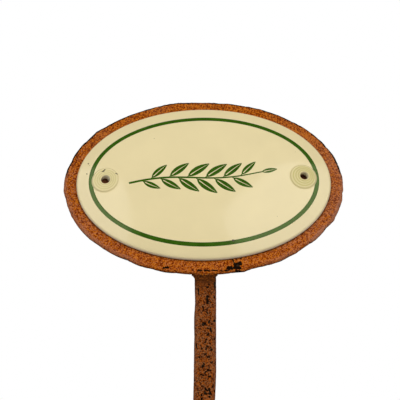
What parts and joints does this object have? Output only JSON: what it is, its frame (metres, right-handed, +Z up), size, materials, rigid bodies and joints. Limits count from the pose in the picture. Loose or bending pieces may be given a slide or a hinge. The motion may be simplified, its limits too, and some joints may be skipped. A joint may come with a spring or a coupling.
{
  "type": "plant label stake",
  "caption": "Ground stake with a forged point that carries an oval steel plate and a domed oval enamel label with a green border and a leaf sprig.",
  "frame": {"origin": "on the bar's axis at the soil line, with the pointed end below it and the label above it", "axes": "+Z up along the bar, the label faces -Y, +X to the label's right as it is read"},
  "size_m": [0.116, 0.0158, 0.3005],
  "materials": {
    "rusted_plate": "matte",
    "rusted_bar": "matte",
    "rusted_weld": "matte",
    "sheet_steel": "satin",
    "ground_enamel": "gloss",
    "cream_enamel": "gloss",
    "green_enamel": "gloss",
    "adhesive": "matte"
  },
  "bodies": {
    "root": {"stake_bar": "rusted_bar", "back_plate": "rusted_plate", "weld_front": "rusted_weld", "weld_left": "rusted_weld", "weld_right": "rusted_weld", "sign_blank": "sheet_steel", "ground_coat": "ground_enamel", "cream_enamel": "cream_enamel", "border_line": "green_enamel", "leaf_sprig": "green_enamel", "adhesive_bead": "adhesive"}
  },
  "joints": []
}
